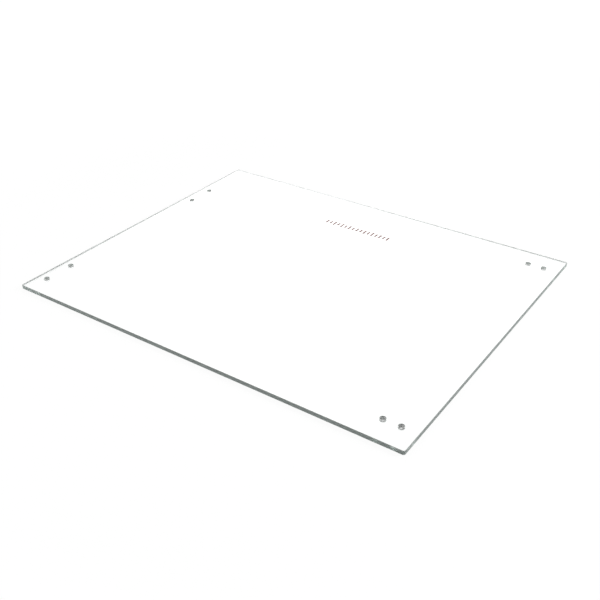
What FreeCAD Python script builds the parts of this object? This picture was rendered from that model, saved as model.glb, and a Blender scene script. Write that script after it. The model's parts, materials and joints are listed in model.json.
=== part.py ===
import FreeCAD, Part
import os
import Sketcher

# Glass pane of an oven door: one sheet of toughened float glass, lying on its back face.
# X runs along the bottom edge, Y from the bottom edge to the top edge and Z out of the front face.
# The origin is the middle of the back face. Lengths are in millimetres.

FOLDER = "parts"

# Name of the cell, value, meaning
SIZES = [
    ("pane_width", 508.0, "left edge to right edge, along X"),
    ("pane_height", 408.0, "bottom edge to top edge, along Y"),
    ("glass_thickness", 4.8, "back face to front face, along Z"),
    ("corner_radius", 2.5, "rounding of the four corners"),
    ("edge_arris", 0.6, "bevel ground along both faces, all round"),
    ("hole_diameter", 6.0, "every drilled hole"),
    ("rim_arris", 0.4, "bevel at both mouths of every hole"),
    ("left_column_inset", 12.5, "left edge to the holes of both left pairs"),
    ("left_pitch", 37.5, "hole to hole in a left pair"),
    ("left_lower_rise", 27.3, "bottom edge to the first hole of the left lower pair"),
    ("left_upper_drop", 82.3, "top edge to the first hole of the left upper pair"),
    ("right_row_inset", 29.0, "top or bottom edge to the holes of a right pair"),
    ("right_end_inset", 19.2, "right edge to the first hole of a right pair"),
    ("right_pitch", 19.5, "hole to hole in a right pair"),
]

# Each pair of holes starts near one corner and runs along one axis, away from that corner.
# Name, side, end, axis it runs along, inset from the side edge, inset from the end edge, pitch
PAIRS = [
    ("left_lower", "left", "bottom", "Y", "left_column_inset", "left_lower_rise", "left_pitch"),
    ("left_upper", "left", "top", "Y", "left_column_inset", "left_upper_drop", "left_pitch"),
    ("right_lower", "right", "bottom", "X", "right_end_inset", "right_row_inset", "right_pitch"),
    ("right_upper", "right", "top", "X", "right_end_inset", "right_row_inset", "right_pitch"),
]

# Direction into the pane from each of its edges
INWARDS = {"left": 1, "right": -1, "bottom": 1, "top": -1}

# Line of the cut size that starts at each corner
CORNER_LINES = {("left", "bottom"): 0, ("right", "bottom"): 1, ("right", "top"): 2, ("left", "top"): 3}

# Numbers that a sketch gives to its own origin and to the points of a line or circle
ORIGIN = (-1, 1)
START = 1
END = 2
CENTRE = 3

# An edge that rises less than this lies in a face
LEVEL = 0.001

# The drilled volume may differ from the worked out one by this share
VOLUME_SHARE = 0.001


def make_sheet(doc):
    """The driving dimensions, one row each."""
    sheet = doc.addObject("Spreadsheet::Sheet", "sizes")
    for row, (alias, value, meaning) in enumerate(SIZES, start=1):
        sheet.set(f"A{row}", alias)
        sheet.set(f"B{row}", str(value))
        sheet.set(f"C{row}", meaning)
        sheet.setAlias(f"B{row}", alias)
    doc.recompute()
    return sheet


def origin_plane(body, role):
    """One of the body's own origin planes."""
    for feature in body.Origin.OriginFeatures:
        if feature.Role == role:
            return feature
    raise ValueError(f"no origin plane {role}")


def new_sketch(body, name):
    """A sketch on the plane of the back face."""
    sketch = body.newObject("Sketcher::SketchObject", name)
    sketch.AttachmentSupport = [(origin_plane(body, "XY_Plane"), "")]
    sketch.MapMode = "FlatFace"
    return sketch


def dimension(sketch, kind, points, name, alias, value):
    """A distance or diameter that follows a cell of the sheet."""
    index = sketch.addConstraint(Sketcher.Constraint(kind, *points, value))
    sketch.renameConstraint(index, name)
    sketch.setExpression(f"Constraints.{name}", f"sizes.{alias}")


def draw_cut_size(sketch, sheet, construction):
    """The rectangle that the pane is cut to, centred; its lines are numbered from 0, bottom first."""
    x = sheet.pane_width / 2
    y = sheet.pane_height / 2
    corners = [(-x, -y), (x, -y), (x, y), (-x, y)]
    points = [FreeCAD.Vector(*corner, 0) for corner in corners]
    for start, end in zip(points, points[1:] + points[:1]):
        sketch.addGeometry(Part.LineSegment(start, end), construction)
    for line, direction in enumerate(["Horizontal", "Vertical", "Horizontal", "Vertical"]):
        sketch.addConstraint(Sketcher.Constraint(direction, line))
        sketch.addConstraint(Sketcher.Constraint("Coincident", line, END, (line + 1) % 4, START))
    sketch.addConstraint(Sketcher.Constraint("Symmetric", 0, START, 2, START, *ORIGIN))
    dimension(sketch, "DistanceX", (0, START, 0, END), "width", "pane_width", 2 * x)
    dimension(sketch, "DistanceY", (1, START, 1, END), "height", "pane_height", 2 * y)


def draw_bore(sketch, sheet, x, y, name):
    """The circle of one hole; returns its centre."""
    middle = FreeCAD.Vector(x, y, 0)
    along_bore = FreeCAD.Vector(0, 0, 1)
    circle = Part.Circle(middle, along_bore, sheet.hole_diameter / 2)
    bore = sketch.addGeometry(circle, False)
    dimension(sketch, "Diameter", (bore,), name, "hole_diameter", sheet.hole_diameter)
    return (bore, CENTRE)


def space_apart(sketch, sheet, axis, inwards, points, name, alias):
    """A distance along an axis from the point nearer the edge to the one further in."""
    outer, inner = points
    rising = (*outer, *inner) if inwards > 0 else (*inner, *outer)
    dimension(sketch, f"Distance{axis}", rising, name, alias, sheet.get(alias))


def draw_pair(sketch, sheet, pair):
    """Two circles, dimensioned from the corner that the pair starts at."""
    name, side, end, along, side_inset, end_inset, pitch = pair
    corner = (CORNER_LINES[side, end], START)
    inwards = {"X": INWARDS[side], "Y": INWARDS[end]}
    x = inwards["X"] * (sheet.get(side_inset) - sheet.pane_width / 2)
    y = inwards["Y"] * (sheet.get(end_inset) - sheet.pane_height / 2)
    step = inwards[along] * sheet.get(pitch)
    first = draw_bore(sketch, sheet, x, y, f"{name}_first_bore")
    if along == "X":
        second = draw_bore(sketch, sheet, x + step, y, f"{name}_second_bore")
        sketch.addConstraint(Sketcher.Constraint("Horizontal", *first, *second))
    else:
        second = draw_bore(sketch, sheet, x, y + step, f"{name}_second_bore")
        sketch.addConstraint(Sketcher.Constraint("Vertical", *first, *second))
    space_apart(sketch, sheet, "X", inwards["X"], (corner, first), f"{name}_side_inset", side_inset)
    space_apart(sketch, sheet, "Y", inwards["Y"], (corner, first), f"{name}_end_inset", end_inset)
    space_apart(sketch, sheet, along, inwards[along], (first, second), f"{name}_pitch", pitch)


def is_upright(edge):
    """True for an edge that stands along the thickness."""
    return edge.BoundBox.ZLength > LEVEL


def is_rim(edge):
    """True for the circle where a hole meets a face."""
    return edge.isClosed() and not is_upright(edge)


def is_border(edge):
    """True for an edge of the pane's outline, on either face."""
    return not edge.isClosed() and not is_upright(edge)


def take_off(body, kind, name, wanted, size_property, alias):
    """A fillet or chamfer on the edges that pass a test."""
    base = body.Tip
    edges = enumerate(base.Shape.Edges, start=1)
    chosen = [f"Edge{number}" for number, edge in edges if wanted(edge)]
    feature = body.newObject(f"PartDesign::{kind}", name)
    feature.Base = (base, chosen)
    feature.setExpression(size_property, f"sizes.{alias}")
    body.Document.recompute()


def drill(body, sheet):
    """The four pairs of holes, drilled from the front face right through."""
    sketch = new_sketch(body, "hole_pairs")
    sketch.setExpression("AttachmentOffset.Base.z", "sizes.glass_thickness")
    draw_cut_size(sketch, sheet, True)
    for pair in PAIRS:
        draw_pair(sketch, sheet, pair)
    body.Document.recompute()
    before = body.Tip.Shape.Volume
    holes = body.newObject("PartDesign::Hole", "drilled_holes")
    holes.Profile = sketch
    holes.ThreadType = "None"
    holes.DepthType = "ThroughAll"
    holes.DrillPoint = "Flat"
    holes.setExpression("Diameter", "sizes.hole_diameter")
    body.Document.recompute()
    removed = before - holes.Shape.Volume
    bore = Part.makeCylinder(sheet.hole_diameter / 2, sheet.glass_thickness)
    expected = 2 * len(PAIRS) * bore.Volume
    if abs(removed - expected) > VOLUME_SHARE * expected:
        raise ValueError(f"the holes take out {removed:.1f} mm3, not {expected:.1f}")


def make_pane(doc, sheet):
    """Cut to size, corners rounded, drilled, and every sharp edge taken off."""
    body = doc.addObject("PartDesign::Body", "glass_pane")
    outline = new_sketch(body, "cut_size")
    draw_cut_size(outline, sheet, False)
    blank = body.newObject("PartDesign::Pad", "blank")
    blank.Profile = outline
    blank.setExpression("Length", "sizes.glass_thickness")
    doc.recompute()
    take_off(body, "Fillet", "rounded_corners", is_upright, "Radius", "corner_radius")
    drill(body, sheet)
    take_off(body, "Chamfer", "border_arris", is_border, "Size", "edge_arris")
    take_off(body, "Chamfer", "hole_arris", is_rim, "Size", "rim_arris")
    return body


def check(doc, bodies):
    """Stops if anything in the document failed or a sub-part has no sound solid."""
    for item in doc.Objects:
        if {"Invalid", "Error"} & set(item.State):
            raise ValueError(f"{item.Name} is {item.State}")
    for body in bodies:
        shape = body.Shape
        if shape.isNull() or not shape.isValid() or len(shape.Solids) != 1:
            raise ValueError(f"{body.Label} is not one sound solid")


def main():
    """Builds the pane and writes its file."""
    doc = FreeCAD.newDocument("oven_door_pane")
    sheet = make_sheet(doc)
    bodies = [make_pane(doc, sheet)]
    doc.recompute()
    check(doc, bodies)
    os.makedirs(FOLDER, exist_ok=True)
    for body in bodies:
        body.Shape.exportStep(f"{FOLDER}/{body.Label}.step")
        box = body.Shape.BoundBox
        print(body.Label, f"{box.XLength:.1f} x {box.YLength:.1f} x {box.ZLength:.1f} mm")


main()
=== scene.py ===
"""Looks of the glass pane of an oven door: its finishes, its fired marks and the studio it lies in."""
import json
import logging
import math
from collections.abc import Iterable
from dataclasses import dataclass, field
from enum import Enum

import bmesh
import bpy
from mathutils import Matrix, Vector


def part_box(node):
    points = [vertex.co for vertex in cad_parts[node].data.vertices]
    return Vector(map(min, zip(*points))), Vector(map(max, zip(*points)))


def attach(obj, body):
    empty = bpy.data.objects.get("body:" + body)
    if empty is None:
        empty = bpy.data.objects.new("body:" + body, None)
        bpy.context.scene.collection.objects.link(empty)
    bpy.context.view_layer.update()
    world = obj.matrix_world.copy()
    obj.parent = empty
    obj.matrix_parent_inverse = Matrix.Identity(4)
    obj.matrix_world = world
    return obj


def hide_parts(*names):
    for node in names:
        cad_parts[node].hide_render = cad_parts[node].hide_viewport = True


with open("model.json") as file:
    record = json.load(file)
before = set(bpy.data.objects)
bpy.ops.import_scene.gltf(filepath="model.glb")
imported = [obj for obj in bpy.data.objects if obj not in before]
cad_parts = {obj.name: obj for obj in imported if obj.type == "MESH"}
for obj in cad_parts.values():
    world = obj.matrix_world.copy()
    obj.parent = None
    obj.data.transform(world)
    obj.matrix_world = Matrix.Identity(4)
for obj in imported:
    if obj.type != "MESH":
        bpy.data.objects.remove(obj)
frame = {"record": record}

LOG = logging.getLogger("oven_door_pane")

# Lengths are in metres, angles in degrees and the power of a lamp in watts
MILLIMETRE = 0.001
QUARTER_TURN = 90.0

Colour = tuple[float, float, float]
Point = tuple[float, float, float]
Loop = list[bmesh.types.BMEdge]
Sockets = bpy.types.NodeInputs | bpy.types.NodeOutputs

WHITE: Colour = (1.0, 1.0, 1.0)
EVEN: Point = (1.0, 1.0, 1.0)

# Middle of the values that a noise gives
MIDDLE = 0.5

# What makes create_grid lay down one square face with sides of a metre
UNIT_SQUARE = {"x_segments": 1, "y_segments": 1, "size": 0.5}


class Zone(Enum):
    """Finishes of the pane, numbered as its material slots."""

    POLISHED = 0
    GROUND = 1
    SEAMED = 2
    DRILLED = 3


class Num:
    """A number in a shader: a socket that takes part in Python arithmetic."""

    def __init__(self, graph: "Graph", socket: bpy.types.NodeSocket) -> None:
        """Wraps one output socket of a graph."""
        self.graph = graph
        self.socket = socket

    def _combine(self, operation: str, first: "Num | float", second: "Num | float") -> "Num":
        """Adds a Math node.

        Args:
            operation: The node's operation, such as MULTIPLY.
            first: Its first value.
            second: Its second value.

        Returns:
            The node's result.
        """
        node = self.graph.node("ShaderNodeMath", {"operation": operation}, {0: first, 1: second})
        return Num(self.graph, node.outputs[0])

    def __add__(self, other: "Num | float") -> "Num":
        """This number plus another."""
        return self._combine("ADD", self, other)

    def __radd__(self, other: float) -> "Num":
        """Another number plus this one."""
        return self._combine("ADD", other, self)

    def __sub__(self, other: "Num | float") -> "Num":
        """This number minus another."""
        return self._combine("SUBTRACT", self, other)

    def __rsub__(self, other: float) -> "Num":
        """Another number minus this one."""
        return self._combine("SUBTRACT", other, self)

    def __mul__(self, other: "Num | float") -> "Num":
        """This number times another."""
        return self._combine("MULTIPLY", self, other)

    def __rmul__(self, other: float) -> "Num":
        """Another number times this one."""
        return self._combine("MULTIPLY", other, self)

    def at_most(self, limit: float) -> "Num":
        """This number, or the limit where it is more."""
        return self._combine("MINIMUM", self, limit)

    def at_least(self, limit: float) -> "Num":
        """This number, or the limit where it is less."""
        return self._combine("MAXIMUM", self, limit)


@dataclass(frozen=True)
class Pattern:
    """Noise of one scale, which may be stretched along the three axes."""

    scale: float
    detail: float
    stretch: Point = EVEN


class Graph:
    """The node tree of a material or of the world."""

    def __init__(self, tree: bpy.types.NodeTree) -> None:
        """Empties a node tree, ready to be filled."""
        self.tree = tree
        self.tree.nodes.clear()

    def node(
        self,
        kind: str,
        settings: dict[str, object] | None = None,
        sockets: dict[str | int, object] | None = None,
    ) -> bpy.types.Node:
        """Adds a node.

        Args:
            kind: Its type, such as ShaderNodeMath.
            settings: Attributes that are set before its sockets.
            sockets: A value, a socket or a Num for each input, by name, identifier or number.

        Returns:
            The new node.
        """
        node = self.tree.nodes.new(kind)
        for name, value in (settings or {}).items():
            setattr(node, name, value)
        for key, value in (sockets or {}).items():
            self._feed(self._find(node.inputs, key), value)
        return node

    def _find(self, sockets: Sockets, key: str | int) -> bpy.types.NodeSocket:
        """Finds one of a node's sockets.

        Args:
            sockets: The node's inputs or outputs.
            key: The socket's number, or else its identifier or name.

        Returns:
            The socket.
        """
        if isinstance(key, int):
            return sockets[key]
        by_identifier = [socket for socket in sockets if socket.identifier == key]
        return by_identifier[0] if by_identifier else sockets[key]

    def _feed(self, socket: bpy.types.NodeSocket, value: object) -> None:
        """Links an input or sets its value.

        Args:
            socket: The input.
            value: A socket or a Num to link it to, or its value.
        """
        if isinstance(value, Num):
            value = value.socket
        if isinstance(value, bpy.types.NodeSocket):
            self.tree.links.new(value, socket)
        elif socket.type == "RGBA":
            socket.default_value = (*value, 1.0)
        else:
            socket.default_value = value

    def number(self, node: bpy.types.Node, output: str) -> Num:
        """An output of a node as a number."""
        return Num(self, node.outputs[output])

    def coordinates(self) -> bpy.types.NodeSocket:
        """Object coordinates, in metres."""
        return self.node("ShaderNodeTexCoord").outputs["Object"]

    def noise(self, pattern: Pattern) -> Num:
        """Adds noise on object coordinates.

        Args:
            pattern: Its scale, detail and stretch.

        Returns:
            The noise, from 0 to 1.
        """
        place = {"Vector": self.coordinates(), "Scale": pattern.stretch}
        stretched = self.node("ShaderNodeMapping", {}, place).outputs["Vector"]
        sockets = {"Vector": stretched, "Scale": pattern.scale, "Detail": pattern.detail}
        return self.number(self.node("ShaderNodeTexNoise", {"noise_dimensions": "3D"}, sockets), "Fac")

    def blend(self, share: Num, low: Colour, high: Colour) -> bpy.types.NodeSocket:
        """Mixes two colours.

        Args:
            share: How much there is of the second colour.
            low: The first colour.
            high: The second colour.

        Returns:
            The mixed colour.
        """
        sockets = {"Factor_Float": share, "A_Color": low, "B_Color": high}
        node = self.node("ShaderNodeMix", {"data_type": "RGBA"}, sockets)
        return self._find(node.outputs, "Result_Color")

    def bump(self, height: Num, distance: float, strength: float) -> bpy.types.NodeSocket:
        """A normal tilted by a height from 0 to 1, whose full rise is the distance in metres."""
        sockets = {"Height": height, "Distance": distance, "Strength": strength}
        return self.node("ShaderNodeBump", {}, sockets).outputs["Normal"]

    def finish(self, shader: bpy.types.Node, volume: bpy.types.Node | None = None) -> None:
        """Links the last nodes to the output.

        Args:
            shader: The surface.
            volume: What is under the surface, where there is anything.
        """
        output = self.node("ShaderNodeOutputMaterial", {}, {"Surface": shader.outputs[0]})
        if volume:
            self.tree.links.new(volume.outputs[0], output.inputs["Volume"])


def new_material(name: str) -> tuple[bpy.types.Material, Graph]:
    """Makes a material that is still empty.

    Args:
        name: Its name.

    Returns:
        The material and its graph.
    """
    material = bpy.data.materials.new(name)
    material.use_nodes = True
    return material, Graph(material.node_tree)


@dataclass(frozen=True)
class GlassBody:
    """What the glass is made of, shared by all its surfaces."""

    ior: float = 1.52
    tint: Colour = (0.90, 0.96, 0.93)
    tint_density: float = 30.0

    def absorb(self, graph: Graph) -> bpy.types.Node:
        """Adds the faint green of float glass."""
        sockets = {"Color": self.tint, "Density": self.tint_density}
        return graph.node("ShaderNodeVolumeAbsorption", {}, sockets)


@dataclass(frozen=True)
class PolishedFace:
    """The two float faces: clear, flat and bright, with the faint waves that toughening leaves."""

    glass: GlassBody = GlassBody()
    waves: Pattern = Pattern(scale=14.0, detail=1.0, stretch=(1.0, 0.25, 1.0))
    wave_height: float = 0.02 * MILLIMETRE
    wave_strength: float = 0.3
    smears: Pattern = Pattern(scale=22.0, detail=4.0)
    haze: float = 0.012

    def material(self) -> bpy.types.Material:
        """Builds the finish.

        Returns:
            The material of the two large faces.
        """
        material, graph = new_material("polished_float_glass")
        shader = graph.node("ShaderNodeBsdfPrincipled", {}, {
            "Base Color": WHITE,
            "Roughness": graph.noise(self.smears) * self.haze,
            "IOR": self.glass.ior,
            "Transmission Weight": 1.0,
            "Normal": graph.bump(graph.noise(self.waves), self.wave_height, self.wave_strength),
        })
        graph.finish(shader, self.glass.absorb(graph))
        return material


@dataclass(frozen=True)
class GroundSurface:
    """Glass left satin by a grinding wheel, a belt or a core drill."""

    name: str
    light: Colour
    dark: Colour
    roughness: float
    transmission: float
    streaks: Pattern
    grain: Pattern = Pattern(scale=5500.0, detail=2.0)
    clouds: Pattern = Pattern(scale=60.0, detail=3.0)
    streak_share: float = 0.45
    grain_share: float = 0.25
    cloud_share: float = 0.3
    contrast: float = 2.4
    roughness_swing: float = 0.16
    streak_relief: float = 0.6
    grain_relief: float = 0.4
    relief_height: float = 0.02 * MILLIMETRE
    relief_strength: float = 0.4
    glass: GlassBody = GlassBody()

    def material(self) -> bpy.types.Material:
        """Builds the finish.

        Returns:
            The material of the ground surface.
        """
        material, graph = new_material(self.name)
        streaks = graph.noise(self.streaks)
        grain = graph.noise(self.grain)
        clouds = graph.noise(self.clouds)
        worn = streaks * self.streak_share + grain * self.grain_share + clouds * self.cloud_share
        light_share = (worn - MIDDLE) * self.contrast + MIDDLE
        relief = streaks * self.streak_relief + grain * self.grain_relief
        shader = graph.node("ShaderNodeBsdfPrincipled", {}, {
            "Base Color": graph.blend(light_share, self.dark, self.light),
            "Roughness": (streaks - MIDDLE) * self.roughness_swing + self.roughness,
            "IOR": self.glass.ior,
            "Transmission Weight": self.transmission,
            "Normal": graph.bump(relief, self.relief_height, self.relief_strength),
        })
        graph.finish(shader, self.glass.absorb(graph))
        return material


@dataclass(frozen=True)
class FiredEnamel:
    """Ceramic ink melted onto the glass: matt red, thin in places."""

    full: Colour = (0.16, 0.075, 0.07)
    thin: Colour = (0.27, 0.16, 0.15)
    patches: Pattern = Pattern(scale=240.0, detail=2.0)
    grain: Pattern = Pattern(scale=1800.0, detail=4.0)
    patch_share: float = 0.6
    grain_share: float = 0.4
    smoothest: float = 0.35
    roughness_swing: float = 0.25
    grain_height: float = 0.008 * MILLIMETRE
    grain_strength: float = 0.6

    def material(self) -> bpy.types.Material:
        """Builds the finish.

        Returns:
            The material of the fired marks.
        """
        material, graph = new_material("fired_enamel")
        grain = graph.noise(self.grain)
        thinness = graph.noise(self.patches) * self.patch_share + grain * self.grain_share
        shader = graph.node("ShaderNodeBsdfPrincipled", {}, {
            "Base Color": graph.blend(thinness, self.full, self.thin),
            "Roughness": grain * self.roughness_swing + self.smoothest,
            "Normal": graph.bump(grain, self.grain_height, self.grain_strength),
        })
        graph.finish(shader)
        return material


def each_once(items: Iterable) -> list:
    """The items without repeats, in the order in which they come."""
    return list(dict.fromkeys(items))


def rounded_face(
    bm: bmesh.types.BMesh, middle: Vector, size: tuple[float, float], radius: float, steps: int,
) -> list[bmesh.types.BMFace]:
    """Lays down a level rectangle with rounded corners.

    Args:
        bm: The mesh to add to.
        middle: Its middle.
        size: Its width and length.
        radius: How far the rounding of a corner reaches along its sides.
        steps: How many edges there are in the rounding of a corner.

    Returns:
        Its one face, in a list.
    """
    corners = bmesh.ops.create_grid(bm, **UNIT_SQUARE)["verts"]
    bmesh.ops.scale(bm, vec=(*size, 1.0), verts=corners)
    bmesh.ops.translate(bm, vec=middle, verts=corners)
    rounded = bmesh.ops.bevel(
        bm, geom=corners, offset=radius, offset_type="OFFSET",
        segments=steps, profile=0.5, affect="VERTICES", material=-1,
    )
    return each_once(face for vert in rounded["verts"] for face in vert.link_faces)


def as_object(bm: bmesh.types.BMesh, name: str) -> bpy.types.Object:
    """Puts a finished mesh in the scene.

    Args:
        bm: The mesh, which is freed.
        name: Name of the object and of its mesh.

    Returns:
        The new object, at the origin.
    """
    mesh = bpy.data.meshes.new(name)
    bm.to_mesh(mesh)
    bm.free()
    piece = bpy.data.objects.new(name, mesh)
    bpy.context.collection.objects.link(piece)
    return piece


@dataclass
class FiredMarks:
    """A plain row of bars, long and short by turns, fired onto the front face near the top edge."""

    node: str = "glass_pane"
    row_centre: tuple[float, float] = (-2.0 * MILLIMETRE, 134.5 * MILLIMETRE)
    bars: int = 17
    pitch: float = 5.7 * MILLIMETRE
    bar_width: float = 2.6 * MILLIMETRE
    long_bar: float = 10.0 * MILLIMETRE
    short_bar: float = 8.0 * MILLIMETRE
    end_rounding: float = 0.45
    end_steps: int = 4
    sunk: float = 0.01 * MILLIMETRE
    proud: float = 0.02 * MILLIMETRE

    def _bar(self, bm: bmesh.types.BMesh, x: float, length: float) -> None:
        """Adds one bar with rounded ends.

        Args:
            bm: The mesh to add to.
            x: Where the middle of the bar lies along the row.
            length: How long the bar is.
        """
        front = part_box(self.node)[1][2]
        middle = Vector((x, self.row_centre[1], front - self.sunk))
        rounding = self.bar_width * self.end_rounding
        base = rounded_face(bm, middle, (self.bar_width, length), rounding, self.end_steps)
        raised = bmesh.ops.extrude_face_region(bm, geom=base, use_keep_orig=True)
        top = [item for item in raised["geom"] if isinstance(item, bmesh.types.BMVert)]
        bmesh.ops.translate(bm, vec=(0.0, 0.0, self.sunk + self.proud), verts=top)

    def build(self) -> bpy.types.Object:
        """Builds the whole row as one mesh.

        Returns:
            The new object.
        """
        bm = bmesh.new()
        first = self.row_centre[0] - self.pitch * (self.bars - 1) / 2
        for index in range(self.bars):
            length = self.short_bar if index % 2 else self.long_bar
            self._bar(bm, first + index * self.pitch, length)
        bmesh.ops.recalc_face_normals(bm, faces=bm.faces)
        return as_object(bm, "fired_marks")

    def place(self) -> bpy.types.Object:
        """Builds and dresses the marks and ties them to the frame.

        Returns:
            The finished marks.
        """
        marks = self.build()
        marks.data.materials.append(FiredEnamel().material())
        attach(marks, "root")
        return marks


@dataclass(frozen=True)
class Bore:
    """A hole drilled right through, with its centre on the front face."""

    centre: Vector
    radius: float


@dataclass
class GlassPane:
    """The pane itself: two polished faces, a ground edge all round and drilled holes."""

    node: str = "glass_pane"
    corner_radius: float = 2.5 * MILLIMETRE
    edge_arris: float = 0.6 * MILLIMETRE
    rim_arris: float = 0.4 * MILLIMETRE
    corner_steps: int = 12
    arris_steps: int = 3
    bore_sides: int = 64
    straight_run: float = 50.0 * MILLIMETRE
    polished_face: PolishedFace = PolishedFace()
    ground_edge: GroundSurface = GroundSurface(
        name="ground_edge", light=(0.62, 0.70, 0.67), dark=(0.37, 0.435, 0.41),
        roughness=0.45, transmission=0.65,
        streaks=Pattern(scale=4000.0, detail=3.0, stretch=(0.01, 0.01, 1.0)),
    )
    seamed_arris: GroundSurface = GroundSurface(
        name="seamed_arris", light=(0.76, 0.79, 0.78), dark=(0.38, 0.41, 0.40),
        roughness=0.38, transmission=0.65,
        streaks=Pattern(scale=900.0, detail=3.0),
    )
    drilled_wall: GroundSurface = GroundSurface(
        name="drilled_wall", light=(0.98, 0.98, 0.98), dark=(0.80, 0.80, 0.80),
        roughness=0.7, transmission=0.5,
        streaks=Pattern(scale=4000.0, detail=3.0, stretch=(0.03, 0.03, 1.0)),
    )
    low: Vector = field(init=False)
    high: Vector = field(init=False)
    bores: list[Bore] = field(init=False)

    def __post_init__(self) -> None:
        """Takes the size of the pane and the places of its holes from the frame."""
        self.low, self.high = (Vector(corner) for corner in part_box(self.node))
        mounts = frame["record"]["mounts"]
        pairs = [mount for mount in mounts if mount["kind"] == "bolt_pattern"]
        self.bores = [bore for pair in pairs for bore in self._bores(pair)]

    def _bores(self, pair: dict) -> list[Bore]:
        """Finds the two holes of one pair.

        Args:
            pair: The pair's mount in the record.

        Returns:
            The holes.
        """
        dims = pair["dims"]
        spacing = Vector((dims.get("spacing_x_mm", 0.0), dims.get("spacing_y_mm", 0.0), 0.0))
        step = spacing * MILLIMETRE / 2
        middle = Vector(pair["pos_m"])
        radius = dims["hole_r_mm"] * MILLIMETRE
        return [Bore(middle - step, radius), Bore(middle + step, radius)]

    def _profile(self, arris: float) -> list[tuple[float, float]]:
        """Works out a wall's section, from the back face to the front face.

        Args:
            arris: Width of the bevel at each end.

        Returns:
            Pairs of the inset from the wall and the height.
        """
        turns = [math.pi / 2 * step / self.arris_steps for step in range(self.arris_steps + 1)]
        crown = [(arris * (1 - math.sin(turn)), arris * (1 - math.cos(turn))) for turn in turns]
        lower = [(inset, self.low.z + rise) for inset, rise in crown]
        upper = [(inset, self.high.z - rise) for inset, rise in reversed(crown)]
        return lower + upper

    def _outline_loop(self, bm: bmesh.types.BMesh, inset: float, height: float) -> Loop:
        """Lays down the pane's outline.

        Args:
            bm: The mesh to add to.
            inset: How far it lies inside the cut size.
            height: Its height over the floor.

        Returns:
            Its edges.
        """
        size = self.high - self.low - Vector((2 * inset, 2 * inset, 0.0))
        centre = (self.low + self.high) / 2
        middle = Vector((centre.x, centre.y, height))
        radius = self.corner_radius - inset
        faces = rounded_face(bm, middle, (size.x, size.y), radius, self.corner_steps)
        edges = each_once(edge for face in faces for edge in face.edges)
        bmesh.ops.delete(bm, geom=faces, context="FACES_ONLY")
        return edges

    def _bore_loop(self, bm: bmesh.types.BMesh, bore: Bore, inset: float, height: float) -> Loop:
        """Lays down a circle round a hole's axis.

        Args:
            bm: The mesh to add to.
            bore: The hole.
            inset: How far the circle lies outside the hole's wall.
            height: Its height over the floor.

        Returns:
            Its edges.
        """
        place = Matrix.Translation((bore.centre.x, bore.centre.y, height))
        made = bmesh.ops.create_circle(
            bm, cap_ends=False, segments=self.bore_sides, radius=bore.radius + inset, matrix=place,
        )
        return each_once(edge for vert in made["verts"] for edge in vert.link_edges)

    def _keep_flat(self, face: bmesh.types.BMFace) -> None:
        """Ends the smooth shading of the corners where a straight stretch starts.

        Args:
            face: A face of the wall or of a bevel.
        """
        ends = [edge for edge in face.edges if edge.calc_length() < self.straight_run]
        if len(ends) < len(face.edges):
            for edge in ends:
                edge.smooth = False

    def _bridge(self, bm: bmesh.types.BMesh, loops: list[Loop], wall: Zone) -> None:
        """Joins each loop to the next with a band of faces.

        Args:
            bm: The mesh to add to.
            loops: The loops, from the back face to the front face.
            wall: The finish between the two bevels.
        """
        for step, (lower, upper) in enumerate(zip(loops, loops[1:])):
            band = bmesh.ops.bridge_loops(bm, edges=lower + upper)
            zone = wall if step == self.arris_steps else Zone.SEAMED
            for face in band["faces"]:
                face.material_index = zone.value
                face.smooth = True
                self._keep_flat(face)

    def _raise_walls(self, bm: bmesh.types.BMesh) -> list[list[Loop]]:
        """Raises the wall of the border and of every hole.

        Args:
            bm: The mesh to add to.

        Returns:
            The loops of each wall, from the back face to the front face.
        """
        section = self._profile(self.edge_arris)
        border = [self._outline_loop(bm, inset, height) for inset, height in section]
        self._bridge(bm, border, Zone.GROUND)
        walls = [border]
        for bore in self.bores:
            section = self._profile(self.rim_arris)
            loops = [self._bore_loop(bm, bore, inset, height) for inset, height in section]
            self._bridge(bm, loops, Zone.DRILLED)
            walls.append(loops)
        return walls

    def _close(self, bm: bmesh.types.BMesh, rims: list[Loop]) -> None:
        """Fills the back or the front face, round the mouths of the holes.

        Args:
            bm: The mesh to add to.
            rims: The border and the mouths.
        """
        edges = [edge for rim in rims for edge in rim]
        flat = bmesh.ops.triangle_fill(bm, use_beauty=True, use_dissolve=False, edges=edges)
        for item in flat["geom"]:
            if isinstance(item, bmesh.types.BMFace):
                item.material_index = Zone.POLISHED.value
                item.smooth = False

    def build(self) -> bpy.types.Object:
        """Builds the pane as one closed mesh.

        Returns:
            The new object, in the place of the node.
        """
        bm = bmesh.new()
        walls = self._raise_walls(bm)
        self._close(bm, [loops[0] for loops in walls])
        self._close(bm, [loops[-1] for loops in walls])
        for loops in walls:
            for edge in loops[self.arris_steps] + loops[self.arris_steps + 1]:
                edge.smooth = False
        bmesh.ops.recalc_face_normals(bm, faces=bm.faces)
        return as_object(bm, "glass_pane_finished")

    def dress(self, pane: bpy.types.Object) -> None:
        """Gives each zone of the pane its finish.

        Args:
            pane: The pane as built.
        """
        finishes = {
            Zone.POLISHED: self.polished_face,
            Zone.GROUND: self.ground_edge,
            Zone.SEAMED: self.seamed_arris,
            Zone.DRILLED: self.drilled_wall,
        }
        for zone in Zone:
            pane.data.materials.append(finishes[zone].material())

    def place(self) -> bpy.types.Object:
        """Builds and dresses the pane and ties it to the frame.

        Returns:
            The finished pane.
        """
        pane = self.build()
        self.dress(pane)
        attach(pane, "root")
        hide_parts(self.node)
        return pane


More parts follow.
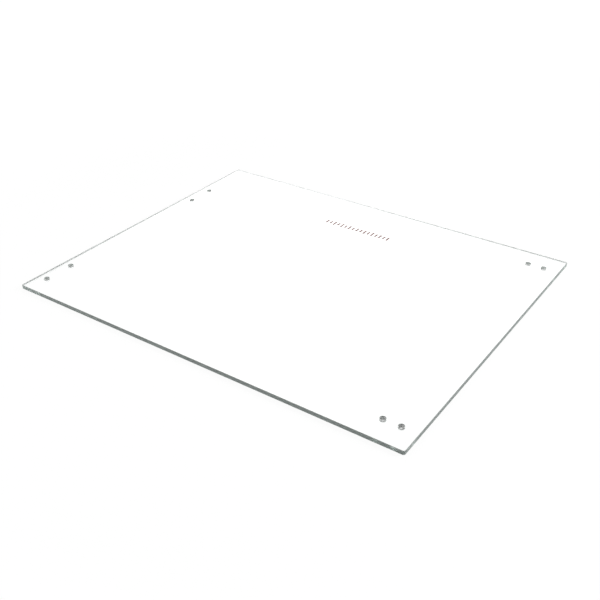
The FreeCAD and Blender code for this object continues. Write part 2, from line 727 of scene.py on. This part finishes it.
@dataclass(frozen=True)
class SoftLamp:
    """A rectangular soft lamp, which the glass may mirror or not."""

    name: str
    place: Point
    facing: Point
    width: float
    height: float
    power: float
    spread: float = 180.0
    mirrored: bool = False

    def hang(self) -> None:
        """Hangs the lamp in its place, turned the way it faces."""
        light = bpy.data.lights.new(self.name, "AREA")
        light.shape = "RECTANGLE"
        light.size = self.width
        light.size_y = self.height
        light.energy = self.power
        light.spread = math.radians(self.spread)
        lamp = bpy.data.objects.new(self.name, light)
        lamp.location = self.place
        lamp.rotation_euler = Vector(self.facing).to_track_quat("-Z", "Y").to_euler()
        lamp.visible_camera = False
        lamp.visible_glossy = self.mirrored
        lamp.visible_transmission = self.mirrored
        bpy.context.collection.objects.link(lamp)


def turn(degrees: float, axis: str) -> Matrix:
    """A turn about an axis."""
    return Matrix.Rotation(math.radians(degrees), 4, axis)


@dataclass
class Studio:
    """The pale floor, the soft light and the camera."""

    floor_size: float = 12.0
    floor_gap: float = 0.2 * MILLIMETRE
    floor_colour: Colour = (0.85, 0.85, 0.85)
    floor_share: float = 0.9
    floor_white: float = 1.03
    shadow_reach: float = 0.45
    fade_length: float = 0.6
    world_light: float = 0.4
    shown_white: float = 1.0
    camera_place: Point = (0.4994, -0.7124, 0.5097)
    camera_heading: float = 35.004
    camera_tilt: float = 31.934
    camera_roll: float = -0.461
    lens: float = 50.71
    sensor: float = 36.0
    lamps: tuple[SoftLamp, ...] = (
        SoftLamp(
            name="key_lamp", place=(-1.2, 1.6, 1.8), facing=(1.2, -1.6, -1.8),
            width=1.6, height=1.6, power=10.0,
        ),
        SoftLamp(
            name="front_lamp", place=(-0.8, -1.2, 0.7), facing=(0.6, 1.0, -0.6),
            width=0.6, height=0.6, power=6.5,
        ),
        SoftLamp(
            name="side_lamp", place=(1.1, 0.8, 0.7), facing=(-0.9, -0.6, -0.6),
            width=0.6, height=0.6, power=16.0,
        ),
        SoftLamp(
            name="low_lamp", place=(-0.589, 1.005, 0.622), facing=(0.479, -0.785, -0.392),
            width=1.8, height=1.0, power=0.75, spread=40.0, mirrored=True,
        ),
    )

    def _seen(self, graph: Graph) -> tuple[Num, Num]:
        """Tells what a ray is for.

        Args:
            graph: The graph to add to.

        Returns:
            1 for a camera ray, and 1 for a glossy or transmission ray.
        """
        path = graph.node("ShaderNodeLightPath")
        camera = graph.number(path, "Is Camera Ray")
        through = graph.number(path, "Is Glossy Ray") + graph.number(path, "Is Transmission Ray")
        return camera, through.at_most(1.0)

    def _white_share(self, graph: Graph) -> Num:
        """Works out how white the camera sees the floor, so that a faint shadow shows near the pane.

        Args:
            graph: The graph to add to.

        Returns:
            The floor's share of plain white, which is all of it away from the pane.
        """
        sockets = {0: graph.coordinates()}
        distance = graph.node("ShaderNodeVectorMath", {"operation": "LENGTH"}, sockets)
        past_shadow = graph.number(distance, "Value") - self.shadow_reach
        fade = (past_shadow * (1 / self.fade_length)).at_least(0.0).at_most(1.0)
        return fade * (1 - self.floor_share) + self.floor_share

    def _floor_material(self) -> bpy.types.Material:
        """Builds the finish of the floor.

        Returns:
            The material.
        """
        material, graph = new_material("pale_floor")
        camera, through = self._seen(graph)
        matt = graph.node("ShaderNodeBsdfDiffuse", {}, {"Color": self.floor_colour})
        white = graph.node("ShaderNodeEmission", {}, {"Color": WHITE, "Strength": self.floor_white})
        share = camera * self._white_share(graph) + through
        sockets = {0: share, 1: matt.outputs[0], 2: white.outputs[0]}
        graph.finish(graph.node("ShaderNodeMixShader", {}, sockets))
        return material

    def floor(self) -> None:
        """Lays the floor just under the pane."""
        bm = bmesh.new()
        place = Matrix.Translation((0.0, 0.0, -self.floor_gap))
        bmesh.ops.create_grid(bm, x_segments=1, y_segments=1, size=self.floor_size / 2, matrix=place)
        floor = as_object(bm, "floor")
        floor.data.materials.append(self._floor_material())

    def _background(self, graph: Graph, strength: float) -> bpy.types.NodeSocket:
        """White light of one strength from all sides."""
        sockets = {"Color": WHITE, "Strength": strength}
        return graph.node("ShaderNodeBackground", {}, sockets).outputs[0]

    def world(self) -> None:
        """Lights the studio evenly; it shows white."""
        world = bpy.data.worlds.new("studio")
        world.use_nodes = True
        graph = Graph(world.node_tree)
        camera, through = self._seen(graph)
        shown = (camera + through).at_most(1.0)
        soft = self._background(graph, self.world_light)
        white = self._background(graph, self.shown_white)
        mix = graph.node("ShaderNodeMixShader", {}, {0: shown, 1: soft, 2: white})
        graph.node("ShaderNodeOutputWorld", {}, {"Surface": mix.outputs[0]})
        bpy.context.scene.world = world

    def camera(self) -> None:
        """Stands the camera where the photograph was taken from, tilted down from the level."""
        data = bpy.data.cameras.new("camera")
        data.lens = self.lens
        data.sensor_width = self.sensor
        camera = bpy.data.objects.new("camera", data)
        heading = turn(self.camera_heading, "Z")
        tilt = turn(QUARTER_TURN - self.camera_tilt, "X")
        roll = turn(self.camera_roll, "Z")
        camera.matrix_world = Matrix.Translation(self.camera_place) @ heading @ tilt @ roll
        bpy.context.collection.objects.link(camera)
        bpy.context.scene.camera = camera

    def build(self) -> None:
        """Sets up the whole studio."""
        self.camera()
        self.floor()
        self.world()
        for lamp in self.lamps:
            lamp.hang()
        bpy.context.scene.view_settings.view_transform = "Standard"


def main() -> None:
    """Builds the studio, the pane and its marks, and notes the sizes."""
    logging.basicConfig(level=logging.INFO)
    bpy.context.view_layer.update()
    studio = Studio()
    studio.build()
    LOG.info("studio: floor, world, camera and %d lamps", len(studio.lamps))
    pane = GlassPane().place()
    LOG.info("%s: %d faces", pane.name, len(pane.data.polygons))
    marks = FiredMarks().place()
    LOG.info("%s: %d faces", marks.name, len(marks.data.polygons))


if __name__ == "__main__":
    main()
